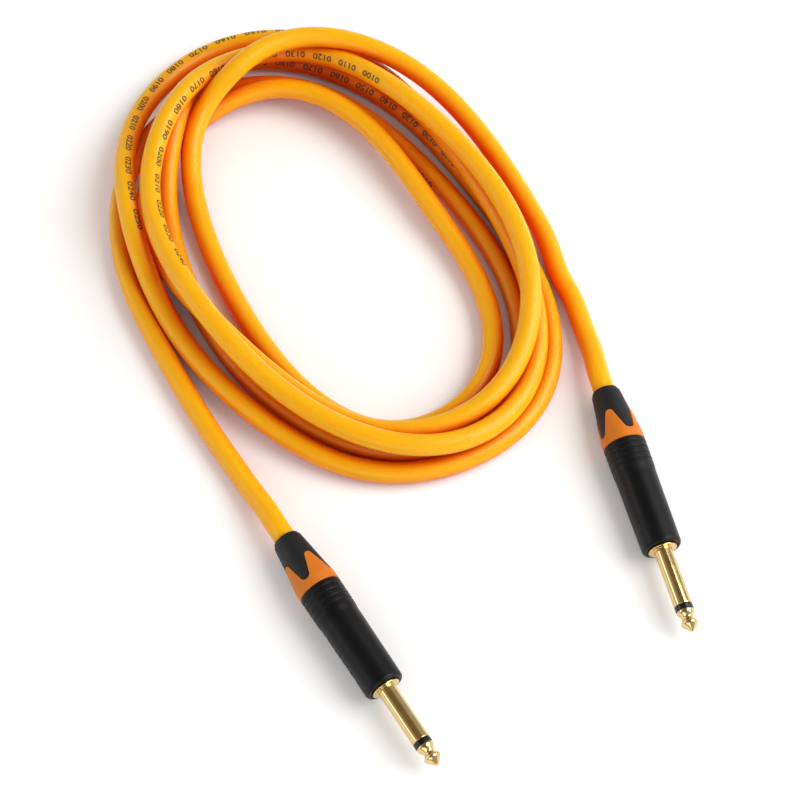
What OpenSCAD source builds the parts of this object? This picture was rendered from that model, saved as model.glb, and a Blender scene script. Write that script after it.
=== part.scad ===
// Instrument cable: a coiled jacketed lead with a 6.35 mm two-pole plug on each end.
// Each plug is built along +Z, with its sleeve flange at z = 0 and its tip pointing up,
// and is then laid on the surface. The origin lies on the surface, midway between the plugs.

/* [Contacts] */
// Diameter of the plug's sleeve
sleeve_d = 6.35; // [6.2:0.01:6.4]
// Length of the sleeve, from its flange to the insulating ring
sleeve_len = 21.3; // [19:0.1:23]
// Bore of the sleeve, which holds the inner insulator
sleeve_bore_d = 4.6; // [4.2:0.1:5]
// Diameter of the sleeve's flange
flange_d = 10.2; // [9.6:0.1:10.4]
// Thickness of the sleeve's flange
flange_t = 1.2; // [0.8:0.1:2]
// Diameter of the sleeve's hidden rear tube
stem_d = 8.2; // [7.6:0.1:8.8]
// Length of the sleeve's hidden rear tube
stem_len = 10.8; // [8:0.1:13]
// Width of the black insulating ring
ring_w = 1.8; // [1.2:0.1:2.5]
// Length of the tip contact in front of the ring
tip_len = 8; // [7:0.1:9]
// Widest diameter of the tip's head
tip_head_d = 5.9; // [5.4:0.1:6.2]
// Diameter of the tip's neck
tip_neck_d = 3.9; // [3.4:0.1:4.4]
// Diameter of the collar behind the neck
tip_collar_d = 6; // [5.4:0.1:6.2]
// Length of that collar
tip_collar_len = 1.1; // [0.8:0.1:1.5]
// Length over which the tip narrows to its neck
tip_waist_len = 1.9; // [1.4:0.1:2.4]
// Length over which the neck widens to the head
tip_flare_len = 1.5; // [1:0.1:2]
// Diameter of the rod that carries the tip
rod_d = 2.8; // [2.2:0.1:3.4]
// Wall of the ground lug
lug_t = 0.8; // [0.5:0.1:1]
// Width of the ground lug
lug_w = 3; // [2:0.1:3.6]
// Length of the ground lug behind the sleeve
lug_len = 9; // [7:0.1:10]

/* [Handle] */
// Length of the handle behind the flange face
shell_len = 41.9; // [41:0.1:50]
// Diameter of the handle at its ribbed rear end
shell_rear_d = 15.3; // [15:0.1:17]
// Diameter of the handle in front of the ribs
shell_mid_d = 14.6; // [14:0.1:15]
// Diameter of the handle at its front
shell_front_d = 14.1; // [13.6:0.1:15]
// How far the sleeve's flange stands out of the handle
flange_proud = 0.6; // [0:0.1:1]
// Rounding of the front rim
rim_r = 1.3; // [0.6:0.1:1.5]
// Bore that holds the insert
shell_bore_d = 10.8; // [10.6:0.1:11]
// Bore at the rear that takes the relief nut
thread_bore_d = 12; // [11.8:0.1:12.4]
// Depth of the rear bore
thread_depth = 7.4; // [7:0.1:9]
// Length of the ribbed grip
grip_len = 9.4; // [7:0.1:18]
// Distance from one grip groove to the next
groove_pitch = 2.3; // [1.6:0.1:3]
// Width of one grip groove
groove_w = 0.7; // [0.4:0.1:1]
// Depth of one grip groove
groove_t = 0.3; // [0.1:0.05:0.4]

/* [Strain relief] */
// Length of the rubber boot behind the nut's ring
boot_len = 19.3; // [16:0.1:22]
// Diameter of the boot's rear end
boot_end_d = 10.5; // [10:0.1:12]
// Diameter of the small collar at the very end
boot_collar_d = 9.4; // [8.8:0.1:10]
// Length of the end collar
boot_collar_len = 1.2; // [0.6:0.1:3]
// Width of the nut's full ring, next to the handle
nut_ring_w = 3.2; // [2:0.1:4]
// Wall of the nut where its fingers lie in the rubber
nut_wall = 1.2; // [0.8:0.1:1.6]
// How far the nut stands out of the rubber
nut_proud = 0.25; // [0:0.05:0.25]
// Number of fingers around the nut
finger_count = 4; // [3:1:5]
// Length of a finger behind the ring
finger_len = 9.4; // [6:0.1:11]
// Radius of a finger's rounded end
finger_r = 1.6; // [1.2:0.1:2.2]
// Radius of the rubber tongue's rounded nose between two fingers
tongue_r = 1.7; // [1.3:0.1:2.2]
// Width of the web that joins the fingers around the tongues' noses
web_w = 1.4; // [0.8:0.1:1.8]
// Slope of a finger's sides from the plug's axis
finger_slope = 18.7; // [14:0.1:26]
// Solid width of the nut between a tongue's nose and the ring
tongue_margin = 0.3; // [0.2:0.1:0.8]
// Diameter of the nut's threaded spigot
spigot_d = 11.9; // [11.6:0.1:11.9]
// Length of the nut's threaded spigot
spigot_len = 5.8; // [5:0.1:6.6]
// Gap between the nut's ring and the handle
nut_gap = 0.2; // [0.1:0.05:0.4]
// Travel of one turn of the relief nut
thread_pitch = 1.5; // [1:0.1:2]
// Length of the clamping chuck
chuck_len = 11.5; // [9:0.1:12]
// Diameter of the clamping chuck
chuck_d = 10.4; // [10:0.1:10.4]
// Diameter of the chuck's rear flange
chuck_flange_d = 11.7; // [11.4:0.1:11.8]
// Thickness of the chuck's rear flange
chuck_flange_t = 1.4; // [1:0.1:2]
// Width of a slot in the chuck
chuck_slot_w = 1.2; // [0.8:0.1:1.6]

/* [Cable] */
// Outer diameter of the cable
cable_d = 7.8; // [7.4:0.1:8]
// Wall of the jacket
jacket_wall = 1.4; // [1.2:0.1:1.6]
// Wall of the braided screen
screen_wall = 0.5; // [0.4:0.05:0.6]
// Diameter of the inner conductor
conductor_d = 1.2; // [0.8:0.1:1.4]
// Length of bare insulation between the jacket and the tip's solder cup
strip_len = 7; // [5:0.5:9]
// Running gap around the cable in the boot
boot_clearance = 0.2; // [0.1:0.05:0.4]
// Running gap around the cable in the chuck
chuck_clearance = 0.05; // [0.02:0.01:0.1]

/* [Lay] */
// Half the length of the coil's mean oval
oval_long = 92; // [80:1:105]
// Half the width of the coil's mean oval
oval_short = 61; // [52:1:72]
// Direction of the oval's long axis
oval_turn = 118; // [90:1:140]
// Direction that plug A points
plug_a_turn = -57.5; // [-80:0.5:-40]
// Direction that plug B points
plug_b_turn = -75; // [-90:0.5:-60]

/* [Hidden] */
$fn = 64;
sleeve_r = sleeve_d / 2;
shell_rear_r = shell_rear_d / 2;
cable_r = cable_d / 2;
insert_gap = 0.05;
edge_chamfer = 0.3;
grip_start = 1.6;
grip_fade = 1.5;
cut = 1;
// Share of a nose's radius at which its straight sides meet the circle.
nose_join = 0.97;

// The relief, from the handle's rear face back to the cable's exit.
nut_front_z = -shell_len - nut_gap;
nut_back_z = nut_front_z - nut_ring_w;
finger_tip_z = nut_back_z - finger_len;
boot_end_z = nut_back_z - boot_len;
spigot_front_z = nut_front_z + spigot_len;
chuck_front_z = spigot_front_z + chuck_len;
spigot_clearance = 0.2;
boot_bore_r = cable_r + boot_clearance;
chuck_bore_r = cable_r + chuck_clearance;
boot_front_r = shell_rear_r - nut_proud;
spigot_bore_r = chuck_bore_r + spigot_clearance;
boot_slope = (boot_front_r - boot_end_d / 2) / (boot_len - boot_collar_len);

// The insert, from the flange back to the solder joints.
rod_tail = 4;
insulator_tail = 1;
screen_lap = 0.8;
cup_gap = 1.5;
joint_start = 1;
joint_len = 2.4;
drain_len = 4;
fillet_len = 0.6;
fillet_step = 0.2;
cup_clearance = 0.15;
stem_back_z = -flange_t - stem_len;
rod_back_z = stem_back_z - rod_tail;
tip_chamfer = 0.2;
cup_depth = 2.4;
cup_r = conductor_d / 2 + cup_clearance;
jacket_front_z = rod_back_z - strip_len;
lug_back_z = stem_back_z - lug_len;
lug_y = stem_d / 2 - lug_t;
dielectric_r = cable_r - jacket_wall - screen_wall;
screen_r = cable_r - jacket_wall;
tail_r = 0.5;
solder_web = 0.1;
tail_y = lug_y - tail_r - solder_web;
solder_r = 1;

// Where each plug lies: its flange on the surface plan, and the height of its axis.
plug_a_at = [-33.0, -43.7];
plug_b_at = [61.6, 6.6];
axis_h = shell_rear_r;
finger_a_turn = 21.5;
finger_b_turn = -24.6;
PLUGS = [["a", plug_a_at, plug_a_turn, finger_a_turn], ["b", plug_b_at, plug_b_turn, finger_b_turn]];

// The cable's lay. The coil follows a mean oval, with twelve stations to a turn, and at each
// station the cable lies a number of its own diameters outside the oval and above the surface.
oval_at = [-52.5, 132.0];
station_step = 30;
first_station = 240;
turn_stations = 360 / station_step;
LANES = [
    2.1, 1.4, 1.7, 0.5, -1.7, -1.1, -2.1, -2.5, -1.8, -1.0, -1.4, -1.0,
    -1.7, -3.1, -2.3, -1.7, -1.8, -0.9, 1.2, -0.6, -1.2, -0.6, -0.7, 0.2,
    0.4, -0.1, -0.8, 0.5, -0.2, -0.6, 0.4, -0.3, -0.5, 0.0, 0.6, 1.1,
    0.3, -0.4, 0.1, 1.7, 2.0, 1.8, 1.2, 1.0, 0.7, 1.1, 0.8, 1.9,
    1.0, -0.4, 0.0, 0.3, 0.8, -0.7, -0.5, -0.7, -0.3, -0.2, 0.0, 0.3,
    -0.3, -1.6, -1.7, -1.1, -0.9, 0.8, 2.0, 1.9
];
LEVELS = [
    0.5, 0.8, 2.0, 3.1, 3.1, 1.4, 0.5, 0.5, 0.5, 0.5, 0.5, 1.0,
    0.5, 1.1, 1.3, 1.3, 1.1, 0.6, 0.5, 1.8, 1.3, 1.4, 1.4, 1.9,
    2.8, 2.4, 3.1, 1.5, 1.8, 3.3, 2.2, 3.1, 2.1, 2.2, 1.6, 1.2,
    1.4, 1.5, 1.6, 0.9, 0.5, 0.8, 3.0, 0.5, 1.0, 0.5, 0.5, 0.6,
    0.5, 0.5, 0.5, 0.5, 0.8, 2.4, 0.5, 0.5, 0.6, 0.5, 0.6, 0.5,
    0.5, 0.5, 0.5, 0.5, 0.5, 0.5, 0.9, 0.6
];
// The free ends, from the last station by plug A to its boot, and from plug B's boot to the coil.
TAIL_A = [[-91.0, 47.0, 3.9], [-85.0, 38.0, 4.1], [-79.5, 29.5, 5.2], [-74.9, 22.5, 6.8]];
TAIL_B = [[41.7, 85.0, 6.2], [39.5, 95.0, 4.4], [37.2, 104.0, 3.9], [34.8, 112.0, 3.9]];
straight_len = 6.9;
tube_sides = 12;
coil_sections = 48;

// ---- Functions -------------------------------------------------------------------------

// Direction on the surface plan of an angle in degrees.
function heading(a) = [cos(a), sin(a), 0];

// A plug's axis point at height z along it, in the part's frame.
function on_axis(plug, z) = [plug[1][0], plug[1][1], axis_h] + z * heading(plug[2]);

// A list with one more value at each end, in line with its last two.
function extended(v) = concat([2 * v[0] - v[1]], v, [2 * v[len(v) - 1] - v[len(v) - 2]]);

// Value of a uniform cubic B-spline over the list v at place q, where q = 0 is the first item.
function smooth_at(v, q) =
    let (i = min(floor(q), len(v) - 2), u = q - i, w = extended(v))
    (pow(1 - u, 3) * w[i] + (3 * pow(u, 3) - 6 * pow(u, 2) + 4) * w[i + 1]
    + (-3 * pow(u, 3) + 3 * pow(u, 2) + 3 * u + 1) * w[i + 2] + pow(u, 3) * w[i + 3]) / 6;

// Places along the lay at which the cable passes the coil's section at angle a from the first.
function passes(a) = [for (q = [a / station_step : turn_stations : len(LANES) - 1]) q];

// A point a distance outside the mean oval, at height z.
function oval_point(a, out, z) =
    let (x = oval_long * cos(a), y = oval_short * sin(a),
        n = [oval_short * cos(a), oval_long * sin(a)] / norm([oval_short * cos(a), oval_long * sin(a)]),
        px = x + out * n[0], py = y + out * n[1])
    [oval_at[0] + px * cos(oval_turn) - py * sin(oval_turn),
        oval_at[1] + px * sin(oval_turn) + py * cos(oval_turn), z];

// Outline of the bundle's section: from lane a to lane b, up to height h, with rounded corners.
function bundle_outline(a, b, h) =
    let (r = cable_r, s = cable_r * (1 - cos(45)))
    [[a, r], [a + s, s], [a + r, 0], [b - r, 0], [b - s, s], [b, r],
        [b, h - r], [b - s, h - s], [b - r, h], [a + r, h], [a + s, h - s], [a, h - r]];

// One ring of a tube about a point, square to its direction.
function tube_ring(at, dir, r) =
    let (side = cross(dir, [0, 0, 1]) / norm(cross(dir, [0, 0, 1])), up = cross(side, dir) / norm(dir))
    [for (i = [0 : tube_sides - 1]) at + r * (cos(360 * i / tube_sides) * up
        + sin(360 * i / tube_sides) * side)];

// Direction of a route at its point i.
function route_dir(pts, i) = pts[min(i + 1, len(pts) - 1)] - pts[max(i - 1, 0)];

// Centreline point of the lay at place q.
function lay_point(q) =
    oval_point(first_station + q * station_step, smooth_at(LANES, q) * cable_d,
        max(smooth_at(LEVELS, q) * cable_d, cable_r));

// Profile of the tip contact in front of the ring, as [radius, height] points.
function tip_profile(z0) =
    let (collar = tip_collar_len, neck = collar + tip_waist_len, head = neck + tip_flare_len, steps = 8)
    concat([[tip_collar_d / 2 - tip_chamfer, z0], [tip_collar_d / 2, z0 + tip_chamfer]],
        [for (i = [0 : steps]) let (t = i / steps) [(tip_collar_d + tip_neck_d) / 4
            + (tip_collar_d - tip_neck_d) / 4 * cos(180 * t), z0 + collar + (neck - collar) * t]],
        [for (i = [1 : steps]) let (t = i / steps) [(tip_head_d + tip_neck_d) / 4
            - (tip_head_d - tip_neck_d) / 4 * cos(180 * t), z0 + neck + (head - neck) * t]],
        [for (i = [1 : steps]) let (t = i / steps) [tip_head_d / 2 * pow(1 - pow(t, 1.7), 0.62),
            z0 + head + (tip_len - head) * t]]);

// ---- Helpers ---------------------------------------------------------------------------

// A tube about +Z, or a rod where its inner radius is 0.
module tube(z0, z1, r_in, r_out) {
    rotate_extrude()
        translate([r_in, z0])
            square([r_out - r_in, z1 - z0]);
}

// Lays a plug, built along +Z with a finger toward +X, on the surface. The finger's turn is
// counted from the top toward the plug's left side.
module lay_plug(plug) {
    translate(on_axis(plug, 0))
        rotate([0, 90, plug[2]])
            rotate([0, 0, 180 - plug[3]])
                children();
}

// Closed solid from equal rings of points, with a fan on each end.
module swept(rings) {
    n = len(rings[0]);
    last = len(rings) - 1;
    polyhedron(
        points = [for (ring = rings) each ring],
        faces = concat(
            [for (i = [0 : last - 1], j = [0 : n - 1])
                [i * n + j, i * n + (j + 1) % n, (i + 1) * n + (j + 1) % n, (i + 1) * n + j]],
            [[for (j = [n - 1 : -1 : 0]) j]],
            [[for (j = [0 : n - 1]) last * n + j]]));
}

// A flat shape in the plane of the plug's axis: a round nose at height z, and sides that open
// away from it toward the handle, over a length. The sides cross the nose's circle just inside it.
module nose_shape(z, r, slope, run) {
    half = nose_join * r * cos(slope);
    back = nose_join * r * sin(slope);
    translate([-z, 0])
        circle(r);
    polygon([[back - z, half], [back - z, -half],
        [-z - run, -half - (run + back) * tan(slope)],
        [-z - run, half + (run + back) * tan(slope)]]);
}

// Prisms with that shape that point outward, one for each finger, turned by a share of its pitch.
module around(share) {
    for (i = [0 : finger_count - 1])
        rotate([0, 0, 360 * (i + share) / finger_count])
            rotate([0, 90, 0])
                linear_extrude(shell_rear_r * 2)
                    children();
}

// Cone of the relief from height z0 to the nut's ring, at a distance outside the rubber's
// surface. It goes on as a cylinder into the ring, so that what it carries is joined to it.
module relief_cone(z0, out) {
    front_r = boot_front_r + out;
    rotate_extrude()
        polygon([[0, z0], [front_r - boot_slope * (nut_back_z - z0), z0], [front_r, nut_back_z],
            [front_r, nut_back_z + nut_ring_w / 2], [0, nut_back_z + nut_ring_w / 2]]);
}

// ---- Cable -----------------------------------------------------------------------------

module jacket_coil() {
    rings = [for (i = [0 : coil_sections - 1])
        let (a = 360 * i / coil_sections,
            lanes = [for (q = passes(a)) smooth_at(LANES, q) * cable_d],
            levels = [for (q = passes(a)) smooth_at(LEVELS, q) * cable_d],
            outline = bundle_outline(min(lanes) - cable_r, max(lanes) + cable_r, max(levels) + cable_r))
        [for (p = outline) oval_point(first_station + a, p[0], p[1])]];
    n = len(rings[0]);
    color("orange")
        polyhedron(
            points = [for (ring = rings) each ring],
            faces = [for (i = [0 : coil_sections - 1], j = [0 : n - 1])
                let (k = (i + 1) % coil_sections)
                [i * n + j, k * n + j, k * n + (j + 1) % n, i * n + (j + 1) % n]]);
}

module jacket_tail_a() {
    plug = PLUGS[0];
    route = concat([lay_point(len(LANES) - 1)], TAIL_A,
        [on_axis(plug, boot_end_z - straight_len), on_axis(plug, boot_end_z)]);
    jacket_tail(route, heading(plug[2]));
}

module jacket_tail_b() {
    plug = PLUGS[1];
    route = concat([lay_point(0)], [for (i = [3 : -1 : 0]) TAIL_B[i]],
        [on_axis(plug, boot_end_z - straight_len), on_axis(plug, boot_end_z)]);
    jacket_tail(route, heading(plug[2]));
}

// A free end of the cable, along its route into the boot, where it meets the plug's axis squarely.
module jacket_tail(route, into_plug) {
    last = len(route) - 1;
    color("orange")
        swept([for (i = [0 : last])
            tube_ring(route[i], i >= last - 1 ? into_plug : route_dir(route, i), cable_r)]);
}

module jacket_end() {
    color("orange")
        tube(boot_end_z, jacket_front_z, screen_r, cable_r);
}

module screen_end() {
    screen_front_z = jacket_front_z + screen_lap;
    color("peru") {
        tube(boot_end_z, screen_front_z, dielectric_r, screen_r);
        translate([0, tail_y, screen_front_z])
            cylinder(h = lug_back_z + drain_len - screen_front_z, r = tail_r);
    }
}

module dielectric() {
    color("ivory")
        tube(boot_end_z, rod_back_z - cup_gap, conductor_d / 2, dielectric_r);
}

module conductor() {
    color("peru")
        tube(boot_end_z, rod_back_z + cup_depth, 0, conductor_d / 2);
}

// ---- Strain relief ---------------------------------------------------------------------

// The fingers, as a solid that reaches a distance outside the rubber's surface.
module fingers(out) {
    difference() {
        intersection() {
            relief_cone(finger_tip_z, out);
            union() {
                around(0)
                    nose_shape(finger_tip_z + finger_r, finger_r, finger_slope,
                        finger_len - finger_r - web_w / 2);
                translate([0, 0, nut_back_z - web_w])
                    cylinder(h = web_w + nut_ring_w, r = 2 * shell_rear_r);
            }
        }
        relief_cone(finger_tip_z - cut, -nut_wall);
        around(0.5)
            translate([tongue_margin + tongue_r - nut_back_z, 0])
                circle(tongue_r);
    }
}

module relief_nut() {
    color("darkorange") {
        tube(nut_back_z, spigot_front_z, spigot_bore_r, spigot_d / 2);
        tube(nut_back_z, nut_front_z, boot_bore_r, shell_rear_r);
        fingers(nut_proud);
    }
}

module boot() {
    color("#1b1b1d") {
        difference() {
            rotate_extrude()
                polygon([[boot_bore_r, boot_end_z], [boot_collar_d / 2, boot_end_z],
                    [boot_end_d / 2, boot_end_z + boot_collar_len], [boot_front_r, nut_back_z],
                    [boot_bore_r, nut_back_z]]);
            fingers(nut_wall);
        }
    }
}

module chuck() {
    color("dimgray")
        difference() {
            union() {
                tube(spigot_front_z, spigot_front_z + chuck_flange_t, 0, chuck_flange_d / 2);
                tube(spigot_front_z, chuck_front_z, 0, chuck_d / 2);
            }
            translate([0, 0, spigot_front_z - cut])
                cylinder(h = chuck_len + 2 * cut, r = chuck_bore_r);
            for (a = [45, 135])
                rotate([0, 0, a])
                    translate([-chuck_flange_d / 2, -chuck_slot_w / 2, spigot_front_z + 2 * chuck_flange_t])
                        cube([chuck_flange_d, chuck_slot_w, chuck_len]);
        }
}

// ---- Handle ----------------------------------------------------------------------------

// Grooves of the grip, as [radius, height] points from the rear forward.
function grip_profile() =
    let (count = floor(grip_len / groove_pitch))
    [for (i = [0 : count - 1]) let (z = -shell_len + grip_start + i * groove_pitch)
        each [[shell_rear_r, z], [shell_rear_r - groove_t, z + groove_w / 4],
            [shell_rear_r - groove_t, z + groove_w * 3 / 4], [shell_rear_r, z + groove_w]]];

module shell() {
    front_z = -flange_proud;
    front_r = shell_front_d / 2;
    grip_front_z = grip_start + grip_len - shell_len;
    color("#17171a")
        difference() {
            rotate_extrude()
                polygon(concat([[0, -shell_len], [shell_rear_r - edge_chamfer, -shell_len],
                    [shell_rear_r, -shell_len + edge_chamfer]],
                    grip_profile(),
                    [[shell_rear_r, grip_front_z], [shell_mid_d / 2, grip_front_z + grip_fade]],
                    [for (a = [0 : 15 : 90]) [front_r - rim_r + rim_r * cos(a),
                        front_z - rim_r + rim_r * sin(a)]],
                    [[0, front_z]]));
            translate([0, 0, -shell_len - cut])
                cylinder(h = shell_len + 2 * cut, d = shell_bore_d);
            translate([0, 0, -shell_len - cut])
                cylinder(h = thread_depth + cut, d = thread_bore_d);
        }
}

// ---- Insert and contacts ---------------------------------------------------------------

module sleeve() {
    color("gold")
        difference() {
            union() {
                tube(0, sleeve_len, 0, sleeve_r);
                tube(-flange_t, 0, 0, flange_d / 2);
                tube(stem_back_z, -flange_t, 0, stem_d / 2);
            }
            translate([0, 0, stem_back_z - cut])
                cylinder(h = stem_len + flange_t + sleeve_len + 2 * cut, d = sleeve_bore_d);
        }
}

module insert() {
    color("#2a2a2e")
        tube(stem_back_z, -flange_t, stem_d / 2, shell_bore_d / 2 - insert_gap);
}

module inner_insulator() {
    color("ivory")
        tube(stem_back_z - insulator_tail, sleeve_len, rod_d / 2, sleeve_bore_d / 2);
}

module ring() {
    color("#121214")
        tube(sleeve_len, sleeve_len + ring_w, rod_d / 2, sleeve_r);
}

module tip() {
    z0 = sleeve_len + ring_w;
    color("gold")
        difference() {
            union() {
                tube(rod_back_z, z0, 0, rod_d / 2);
                rotate_extrude()
                    polygon(concat([[0, z0]], tip_profile(z0)));
            }
            translate([0, 0, rod_back_z - cut])
                cylinder(h = cup_depth + cut, r = cup_r);
        }
}

module ground_lug() {
    color("silver")
        intersection() {
            translate([-lug_w / 2, lug_y, lug_back_z])
                cube([lug_w, lug_t, lug_len]);
            tube(lug_back_z, stem_back_z, 0, stem_d / 2);
        }
}

module ground_solder() {
    color("lightgray")
        difference() {
            translate([0, tail_y, lug_back_z + joint_start])
                cylinder(h = joint_len, r = solder_r);
            translate([-solder_r, lug_y, lug_back_z])
                cube([2 * solder_r, solder_r, lug_len]);
            translate([0, tail_y, lug_back_z])
                cylinder(h = lug_len, r = tail_r);
            cylinder(h = 2 * shell_len, r = dielectric_r, center = true);
        }
}

module tip_solder() {
    color("lightgray") {
        tube(rod_back_z, rod_back_z + cup_depth, conductor_d / 2, cup_r);
        tube(rod_back_z - fillet_len, rod_back_z, conductor_d / 2, rod_d / 2 - fillet_step);
    }
}

jacket_coil();
jacket_tail_a();
jacket_tail_b();
for (p = PLUGS) {
    lay_plug(p) shell();
    lay_plug(p) relief_nut();
    lay_plug(p) boot();
    lay_plug(p) chuck();
    lay_plug(p) sleeve();
    lay_plug(p) insert();
    lay_plug(p) inner_insulator();
    lay_plug(p) ring();
    lay_plug(p) tip();
    lay_plug(p) ground_lug();
    lay_plug(p) ground_solder();
    lay_plug(p) tip_solder();
    lay_plug(p) jacket_end();
    lay_plug(p) screen_end();
    lay_plug(p) dielectric();
    lay_plug(p) conductor();
}
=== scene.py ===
"""Instrument cable: a coiled jacketed lead with a 6.35 mm two-pole plug on each end.

The lengths below are in millimetres unless a name or a property says otherwise, and every
mesh is written in metres. A plug is worked out along +Z, with its sleeve flange at z = 0
and its tip pointing up, and is then laid on the surface.
"""

import math

import bmesh
import bpy
import numpy as np
from bpy.props import FloatProperty, FloatVectorProperty, IntProperty, PointerProperty
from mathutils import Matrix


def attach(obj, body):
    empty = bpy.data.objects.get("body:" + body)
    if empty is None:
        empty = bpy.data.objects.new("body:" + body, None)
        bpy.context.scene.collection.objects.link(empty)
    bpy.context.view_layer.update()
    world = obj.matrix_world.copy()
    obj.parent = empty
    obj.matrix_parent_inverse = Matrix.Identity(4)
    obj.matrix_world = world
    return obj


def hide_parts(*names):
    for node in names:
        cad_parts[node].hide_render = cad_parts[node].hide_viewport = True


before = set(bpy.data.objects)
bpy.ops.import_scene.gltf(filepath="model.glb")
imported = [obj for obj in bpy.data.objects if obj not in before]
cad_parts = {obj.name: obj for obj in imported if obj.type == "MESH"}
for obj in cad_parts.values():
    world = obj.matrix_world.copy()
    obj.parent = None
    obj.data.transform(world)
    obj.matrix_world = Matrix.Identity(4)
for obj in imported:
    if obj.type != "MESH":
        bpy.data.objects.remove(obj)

bl_info = {
    "name": "Instrument Cable",
    "version": (1, 0, 0),
    "blender": (4, 5, 0),
    "location": "View3D > Sidebar > Cable",
    "description": "Builds a coiled instrument cable with a two-pole plug on each end",
    "category": "Add Mesh",
}

MM = 0.001
TAU = 2 * math.pi

# Where each plug lies: name, flange on the plan, heading, and the finger's turn from the top.
PLUGS = (
    ("a", (-33.0, -43.7), -57.5, 21.5),
    ("b", (61.6, 6.6), -75.0, -24.6),
)
# Height of both plugs' axes above the surface.
AXIS_H = 7.65

# The plug's heights along its axis.
SLEEVE_LEN = 21.3
FLANGE_T = 1.2
SHELL_LEN = 41.9
RIM_Z = -0.6
THREAD_DEPTH = 7.4
GRIP_FRONT = -30.9
NUT_FRONT = -42.1
NUT_BACK = -45.3
FINGER_TIP = -54.7
BOOT_END = -64.6
SPIGOT_FRONT = -36.3
STEM_BACK = -12.0
ROD_BACK = -16.0
RING_W = 1.8
TIP_LEN = 8.0

# The relief nut: how many fingers it has, how far it stands out of the rubber, its thread, the
# radius of the fingers' noses and how far their sides open in degrees, and the noses of the
# rubber tongues between them, above the finger tips.
FINGERS = 4
NUT_PROUD = 0.25
THREAD_PITCH = 1.5
FINGER_R, FINGER_SLOPE = 1.6, 18.7
TONGUE_R, TONGUE_Z, WEB_Z = 1.7, 7.4, 8.0

# The label panel of a handle: its middle's turn from the top on each plug, half its width in
# degrees, and its ends along the axis.
PANEL_TURN = {"a": -95.0, "b": -62.0}
PANEL_HALF = 22.0
PANEL_Z = (-30.0, -7.8)

# The lay of the cable: twelve stations to a turn of the mean oval, and at each the number of
# cable diameters outside the oval and above the surface.
OVAL_AT = (-52.5, 132.0)
OVAL_LONG, OVAL_SHORT, OVAL_TURN = 92.0, 61.0, 118.0
FIRST_STATION, STATION_STEP = 240.0, 30.0
LANES = (
    2.1, 1.4, 1.7, 0.5, -1.7, -1.1, -2.1, -2.5, -1.8, -1.0, -1.4, -1.0,
    -1.7, -3.1, -2.3, -1.7, -1.8, -0.9, 1.2, -0.6, -1.2, -0.6, -0.7, 0.2,
    0.4, -0.1, -0.8, 0.5, -0.2, -0.6, 0.4, -0.3, -0.5, 0.0, 0.6, 1.1,
    0.3, -0.4, 0.1, 1.7, 2.0, 1.8, 1.2, 1.0, 0.7, 1.1, 0.8, 1.9,
    1.0, -0.4, 0.0, 0.3, 0.8, -0.7, -0.5, -0.7, -0.3, -0.2, 0.0, 0.3,
    -0.3, -1.6, -1.7, -1.1, -0.9, 0.8, 2.0, 1.9,
)
LEVELS = (
    0.5, 0.8, 2.0, 3.1, 3.1, 1.4, 0.5, 0.5, 0.5, 0.5, 0.5, 1.0,
    0.5, 1.1, 1.3, 1.3, 1.1, 0.6, 0.5, 1.8, 1.3, 1.4, 1.4, 1.9,
    2.8, 2.4, 3.1, 1.5, 1.8, 3.3, 2.2, 3.1, 2.1, 2.2, 1.6, 1.2,
    1.4, 1.5, 1.6, 0.9, 0.5, 0.8, 3.0, 0.5, 1.0, 0.5, 0.5, 0.6,
    0.5, 0.5, 0.5, 0.5, 0.8, 2.4, 0.5, 0.5, 0.6, 0.5, 0.6, 0.5,
    0.5, 0.5, 0.5, 0.5, 0.5, 0.5, 0.9, 0.6,
)
TAIL_A = ((-91.0, 47.0, 3.9), (-85.0, 38.0, 4.1), (-79.5, 29.5, 5.2), (-74.9, 22.5, 6.8))
TAIL_B = ((41.7, 85.0, 6.2), (39.5, 95.0, 4.4), (37.2, 104.0, 3.9), (34.8, 112.0, 3.9))
STRAIGHT_LEN = 6.9

# The print on the jacket: each run's start and end along the cable, and its turn from the top
# there, in degrees toward the right of the way from plug B to plug A.
PRINT_RUNS = (
    (1050, 1232, -50, -55),
    (1545, 1735, 60, -45),
    (2040, 2180, -25, -61),
    (2533, 2600, -70, -70),
)
# The length along the cable that one printed number takes, the first number and their step,
# how far the print stands up, and how much the font's outline is widened.
PRINT_PITCH = 11.5
FIRST_MARK, MARK_STEP = 100, 10
PRINT_LIFT = 0.012
FONT_WEIGHT = 0.016

# The camera: where it stands, what it looks at, and its angle of view in degrees.
CAMERA_AT = (-28.5, -278.5, 621.0)
CAMERA_LOOK = (-28.5, 70.0, 0.0)
CAMERA_ANGLE = 22.98
SENSOR = 36.0

# The lamps: name, azimuth and elevation in degrees and distance in metres from the point that
# they stand around, size in metres, and radiance.
LAMPS = (
    ("key", 3.0, 45.0, 1.3, (1.15, 1.15), 4.3),
    ("panel", 175.0, 20.0, 1.2, (1.2, 0.35), 1.8),
    ("front", 262.0, 28.0, 1.3, (1.0, 0.5), 1.6),
)
# The room's brightness at an elevation in degrees: white low down, dim overhead.
ROOM = (
    (0.0, "#FFFFFF"), (3.0, "#F4F4F4"), (8.0, "#CACCD0"), (16.0, "#B6B9BE"),
    (40.0, "#B2B5BA"), (60.0, "#807058"), (90.0, "#807058"),
)
# The middle that the lamps stand around, and the paper's half width and drop, in metres.
LAMPS_ROUND = (-0.03, 0.07, 0.0)
FLOOR_HALF, FLOOR_DROP = 3.0, 0.0002
# How much light the paper adds to itself where the camera or a shiny surface sees it.
FLOOR_LIFT = 0.24


# ---- Sizes and colours -----------------------------------------------------------------


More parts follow.
